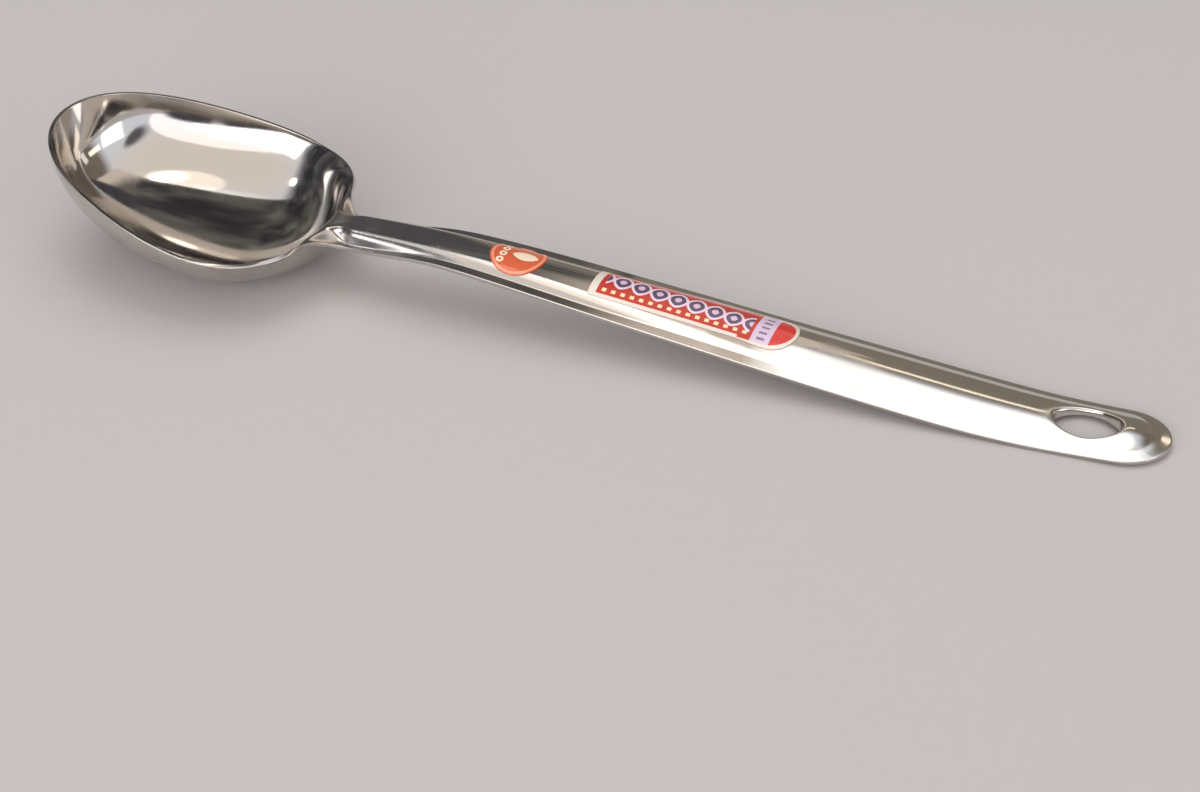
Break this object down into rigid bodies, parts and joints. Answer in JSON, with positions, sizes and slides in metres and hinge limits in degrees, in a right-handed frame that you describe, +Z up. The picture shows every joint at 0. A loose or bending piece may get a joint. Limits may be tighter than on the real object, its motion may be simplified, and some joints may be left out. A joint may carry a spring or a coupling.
{
  "type": "serving spoon",
  "caption": "Polished stainless steel serving spoon with a deep egg-shaped bowl, a ridged handle with an oval hang hole, a round price sticker and a long handle sticker.",
  "frame": {"origin": "centre of the footprint on the table the spoon rests on", "axes": "+X along the spoon from the bowl to the handle's end, +Y to the left of that direction, +Z up out of the open bowl"},
  "size_m": [0.326, 0.073, 0.0375],
  "materials": {
    "polished_steel": "bright polished stainless steel",
    "dot_paper": "orange printed paper sticker, satin",
    "label_film": "red printed sticker with a pale border, gloss"
  },
  "bodies": {
    "root": {"spoon_body": "polished_steel", "price_dot": "dot_paper", "handle_label": "label_film"}
  },
  "joints": []
}
